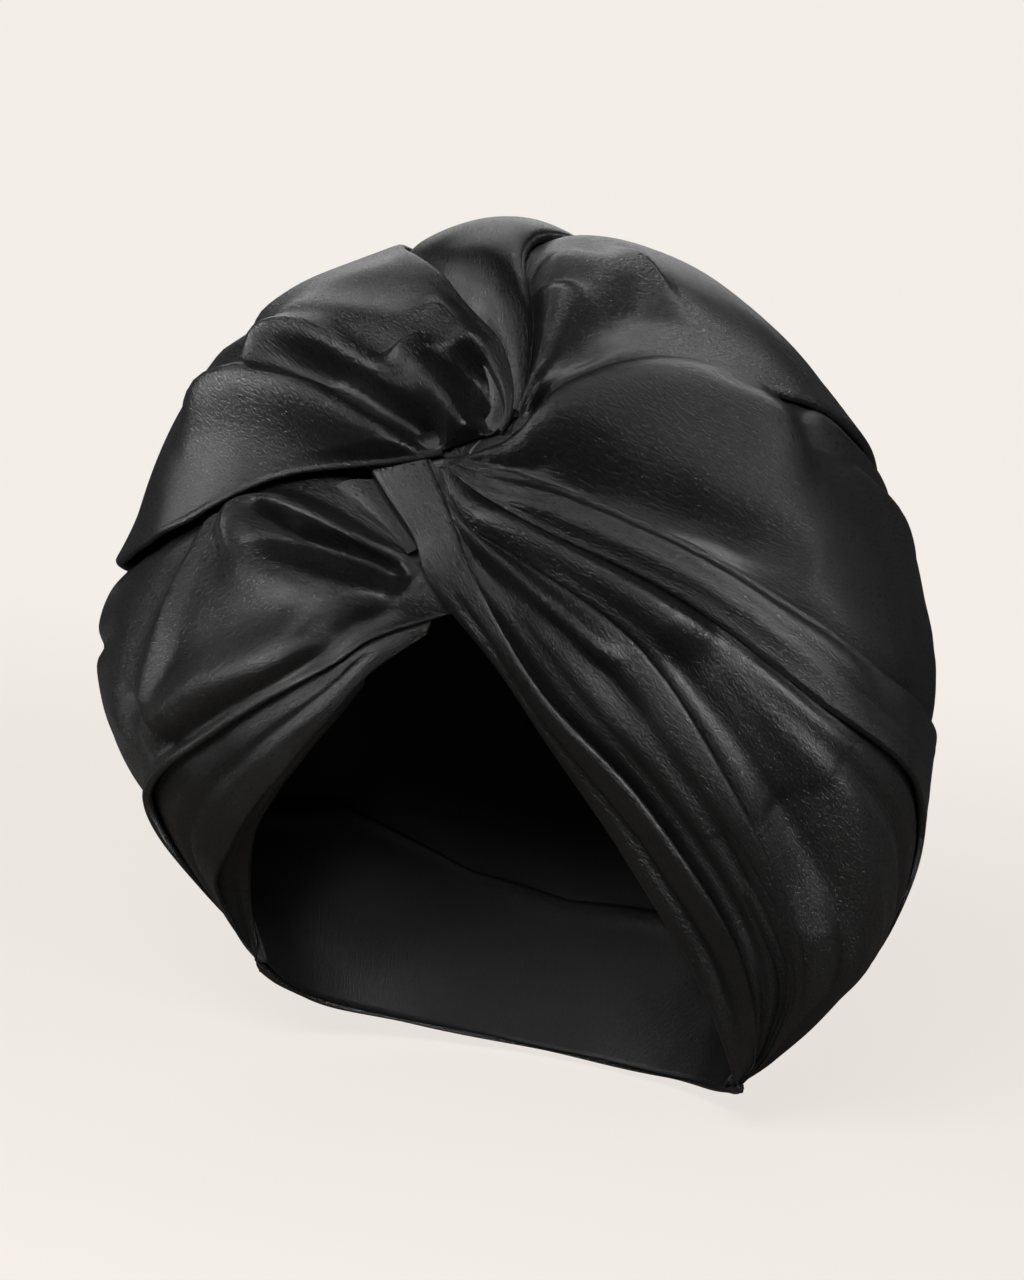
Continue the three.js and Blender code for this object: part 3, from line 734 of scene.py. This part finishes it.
def hem_stitches(finish):
    """Two rows of small stitches outside the hem and two inside, each stitch laid on a path."""
    tree = bpy.data.node_groups.new("stitch_rows", "GeometryNodeTree")
    face = tree.interface
    face.new_socket("Geometry", in_out="INPUT", socket_type="NodeSocketGeometry")
    sizes = {"Spacing": 0.0031, "Stitch length": 0.0011, "Thread radius": 0.00028}
    for label, value in sizes.items():
        face.new_socket(label, in_out="INPUT", socket_type="NodeSocketFloat").default_value = value
    face.new_socket("Thread", in_out="INPUT", socket_type="NodeSocketMaterial")
    face.new_socket("Geometry", in_out="OUTPUT", socket_type="NodeSocketGeometry")
    given, out = node(tree, "NodeGroupInput"), node(tree, "NodeGroupOutput")
    link = tree.links.new
    path = node(tree, "GeometryNodeMeshToCurve")
    steps = node(tree, "GeometryNodeResampleCurve", mode="LENGTH")
    stitch = node(tree, "GeometryNodeMeshUVSphere")
    stitch.inputs["Segments"].default_value = 6
    stitch.inputs["Rings"].default_value = 4
    stitch.inputs["Radius"].default_value = 1.0
    shape = node(tree, "ShaderNodeCombineXYZ")
    tangent = node(tree, "GeometryNodeInputTangent")
    turn = node(tree, "FunctionNodeAlignRotationToVector", axis="Z")
    laid = node(tree, "GeometryNodeInstanceOnPoints")
    real = node(tree, "GeometryNodeRealizeInstances")
    thread = node(tree, "GeometryNodeSetMaterial")
    link(given.outputs["Geometry"], path.inputs["Mesh"])
    link(path.outputs["Curve"], steps.inputs["Curve"])
    link(given.outputs["Spacing"], steps.inputs["Length"])
    link(given.outputs["Thread radius"], shape.inputs["X"])
    link(given.outputs["Thread radius"], shape.inputs["Y"])
    link(given.outputs["Stitch length"], shape.inputs["Z"])
    link(tangent.outputs["Tangent"], turn.inputs["Vector"])
    link(steps.outputs["Curve"], laid.inputs["Points"])
    link(stitch.outputs["Mesh"], laid.inputs["Instance"])
    link(turn.outputs["Rotation"], laid.inputs["Rotation"])
    link(shape.outputs["Vector"], laid.inputs["Scale"])
    link(laid.outputs["Instances"], real.inputs["Geometry"])
    link(real.outputs["Geometry"], thread.inputs["Geometry"])
    link(given.outputs["Thread"], thread.inputs["Material"])
    link(thread.outputs["Geometry"], out.inputs["Geometry"])

    middle, outward, down = hem_line()
    points, edges = [], []
    bare = 10  # steps at each end of the hem that have no stitches
    for turned in (35, -35, 145, 215):
        bend = math.radians(turned)
        row = middle + math.cos(bend) * HEM_ACROSS * outward + math.sin(bend) * HEM_DOWN * down
        edges += [(len(points) + k, len(points) + k + 1) for k in range(bare, len(row) - bare - 1)]
        points += row.tolist()
    rail = bpy.data.meshes.new("stitch_rail")
    rail.from_pydata((np.array(points) * MM).tolist(), edges, [])
    carrier = bpy.data.objects.new("stitch_rail", rail)
    bpy.context.scene.collection.objects.link(carrier)
    maker = carrier.modifiers.new("stitches", "NODES")
    maker.node_group = tree
    sockets = {item.name: item.identifier for item in face.items_tree if item.in_out == "INPUT"}
    maker[sockets["Thread"]] = finish
    made = carrier.evaluated_get(bpy.context.evaluated_depsgraph_get())
    mesh = bpy.data.meshes.new_from_object(made)
    mesh.name = "hem_stitches"
    mesh.shade_smooth()
    carrier.modifiers.remove(maker)
    bpy.data.objects.remove(carrier)
    piece = bpy.data.objects.new("hem_stitches", mesh)
    bpy.context.scene.collection.objects.link(piece)
    return piece


# ---------------------------------------------------------------- build

grain = cloth_grain_group()
satin = cloth_material(
    "black_satin", grain, dark=(0.002, 0.002, 0.0021), light=(0.0038, 0.0038, 0.0039),
    roughness=(0.23, 0.38), bump=0.85, shine=0.66)
thread_finish = cloth_material(
    "black_thread", grain, dark=(0.008, 0.008, 0.008), light=(0.014, 0.014, 0.014),
    roughness=(0.5, 0.65), bump=0.3, shine=0.5)
lining_satin = cloth_material(
    "lining_satin", grain, dark=(0.002, 0.002, 0.0021), light=(0.0035, 0.0035, 0.0035),
    roughness=(0.4, 0.55), bump=0.6, shine=0.38)


for name, spec in PLEATS.items():
    piece = pleat(name, spec)
    piece.data.materials.append(satin)
    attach(piece, "root")
    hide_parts(name)

heart = twist_heart()
thicken(heart, CLOTH)
heart.data.materials.append(satin)
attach(heart, "root")

hem = nape_hem()
hem.data.materials.append(satin)
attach(hem, "root")
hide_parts("nape_hem")

stitches = hem_stitches(thread_finish)
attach(stitches, "root")

crown = lining_crown()
thicken(crown, CLOTH)
crown.data.materials.append(lining_satin)
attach(crown, "root")
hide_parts("lining_crown")

band = lining_band()
thicken(band, CLOTH)
band.data.materials.append(lining_satin)
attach(band, "root")
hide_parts("lining_band")

# ---------------------------------------------------------------- studio

LOOK_AT = np.array([0.0, 0.0, 0.070])
CAMERA_TURN, CAMERA_UP, CAMERA_ROLL = 18, 6, 6
CAMERA_AWAY = 1.1
FRAME_SHIFT = 8 / 1280  # how far the frame is raised, as a share of its height
FLOOR = cad_box[0][2] - 0.002
FLOOR_REACH = 1.6
FLOOR_GLOW = 0.86  # how bright the floor looks to the camera by itself


def aim(thing, place, target, roll=0.0):
    back = Vector(place) - Vector(target)
    turn = back.to_track_quat("Z", "Y").to_matrix().to_4x4()
    rolled = Matrix.Rotation(math.radians(roll), 4, "Z")
    thing.matrix_world = Matrix.Translation(Vector(place)) @ turn @ rolled


camera_data = bpy.data.cameras.new("camera")
camera_data.lens = 106.7
camera_data.sensor_width = 36
camera = bpy.data.objects.new("camera", camera_data)
bpy.context.scene.collection.objects.link(camera)
aim(camera, LOOK_AT + direction(CAMERA_TURN, CAMERA_UP) * CAMERA_AWAY, LOOK_AT, CAMERA_ROLL)
camera_data.shift_y = FRAME_SHIFT
bpy.context.scene.camera = camera


def lamp(name, around, up, away, wide, high, power):
    data = bpy.data.lights.new(name, "AREA")
    data.shape = "RECTANGLE"
    data.size = wide
    data.size_y = high
    data.energy = power
    made = bpy.data.objects.new(name, data)
    bpy.context.scene.collection.objects.link(made)
    aim(made, LOOK_AT + direction(around, up) * away, LOOK_AT)


lamp("key", 6, 27, 1.2, 0.66, 0.3, 32)
lamp("fill", 62, 24, 1.5, 0.5, 0.5, 0.3)
lamp("top", 8, 75, 1.3, 0.6, 0.6, 0.15)
lamp("back", 200, 24, 1.8, 1.0, 0.8, 4.5)
lamp("left_side", 125, 14, 1.3, 0.6, 0.5, 2)
lamp("right_side", 262, 10, 1.3, 0.6, 0.5, 2)


def floor():
    rim = np.linspace(0, 2 * math.pi, 97)[:-1]
    corners = [(FLOOR_REACH * math.cos(a), FLOOR_REACH * math.sin(a), FLOOR) for a in rim]
    mesh = bpy.data.meshes.new("floor")
    mesh.from_pydata(corners, [], [list(range(len(corners)))])
    plane = bpy.data.objects.new("floor", mesh)
    bpy.context.scene.collection.objects.link(plane)
    material = bpy.data.materials.new("pale_floor")
    material.use_nodes = True
    tree = material.node_tree
    shader = tree.nodes["Principled BSDF"]
    shader.inputs["Base Color"].default_value = (0.085, 0.078, 0.073, 1)
    shader.inputs["Roughness"].default_value = 0.9
    shader.inputs["Specular IOR Level"].default_value = 0.1
    shader.inputs["Emission Color"].default_value = (0.89, 0.84, 0.80, 1)
    place = node(tree, "ShaderNodeTexCoord")
    length = node(tree, "ShaderNodeVectorMath", operation="LENGTH")
    fade = node(tree, "ShaderNodeMapRange", interpolation_type="SMOOTHSTEP")
    fade.inputs["From Min"].default_value = 0.35
    fade.inputs["From Max"].default_value = 1.4
    fade.inputs["To Min"].default_value = 1.0
    fade.inputs["To Max"].default_value = 0.0
    tree.links.new(place.outputs["Object"], length.inputs[0])
    tree.links.new(length.outputs["Value"], fade.inputs["Value"])
    tree.links.new(fade.outputs["Result"], shader.inputs["Alpha"])
    rays = node(tree, "ShaderNodeLightPath")
    glow = node(tree, "ShaderNodeMath", operation="MULTIPLY")
    glow.inputs[1].default_value = FLOOR_GLOW
    tree.links.new(rays.outputs["Is Camera Ray"], glow.inputs[0])
    tree.links.new(glow.outputs["Value"], shader.inputs["Emission Strength"])
    plane.data.materials.append(material)


floor()

world = bpy.data.worlds.new("studio")
bpy.context.scene.world = world
world.use_nodes = True
tree = world.node_tree
tree.nodes.clear()
seen = node(tree, "ShaderNodeBackground")
seen.inputs["Color"].default_value = (0.895, 0.855, 0.805, 1)
round_about = node(tree, "ShaderNodeBackground")
round_about.inputs["Color"].default_value = (1, 0.98, 0.95, 1)
round_about.inputs["Strength"].default_value = 0.012
rays = node(tree, "ShaderNodeLightPath")
mix = node(tree, "ShaderNodeMixShader")
world_out = node(tree, "ShaderNodeOutputWorld")
tree.links.new(rays.outputs["Is Camera Ray"], mix.inputs["Fac"])
tree.links.new(round_about.outputs["Background"], mix.inputs[1])
tree.links.new(seen.outputs["Background"], mix.inputs[2])
tree.links.new(mix.outputs["Shader"], world_out.inputs["Surface"])
bpy.context.scene.view_settings.view_transform = "Standard"
